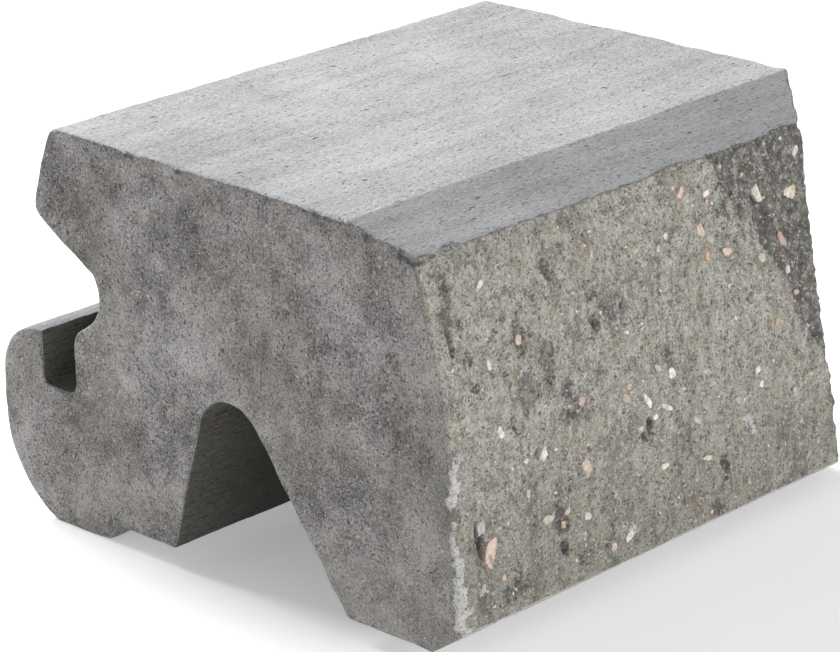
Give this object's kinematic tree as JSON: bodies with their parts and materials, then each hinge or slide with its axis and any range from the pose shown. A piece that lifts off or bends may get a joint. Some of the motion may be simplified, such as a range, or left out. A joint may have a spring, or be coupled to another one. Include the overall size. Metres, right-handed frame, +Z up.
{
  "type": "segmental retaining wall block",
  "caption": "Dry-cast concrete wall block with a split stone face, an arch between its feet, and a slotted rear hook with a heel that locks over the block below.",
  "frame": {"origin": "centre of the bounding box in plan, at the bottom of the heel; the plane that both feet bear on is 10 mm above it", "axes": "+X along the wall, from the square end to the skewed end; +Y from the split face back into the soil; +Z up"},
  "size_m": [0.3168, 0.3062, 0.203],
  "materials": {
    "concrete": "matte",
    "white_quartz": "matte",
    "pink_granite": "matte",
    "orange_sandstone": "matte",
    "cream_limestone": "matte",
    "blue_slate": "matte",
    "grey_quartzite": "matte"
  },
  "bodies": {
    "root": {"block_body": "concrete", "white_quartz_stones": "white_quartz", "pink_granite_stones": "pink_granite", "orange_sandstone_stones": "orange_sandstone", "cream_limestone_stones": "cream_limestone", "blue_slate_stones": "blue_slate", "large_pink_stone": "pink_granite", "corner_quartzite_stone": "grey_quartzite", "large_ochre_stone": "orange_sandstone"}
  },
  "joints": []
}
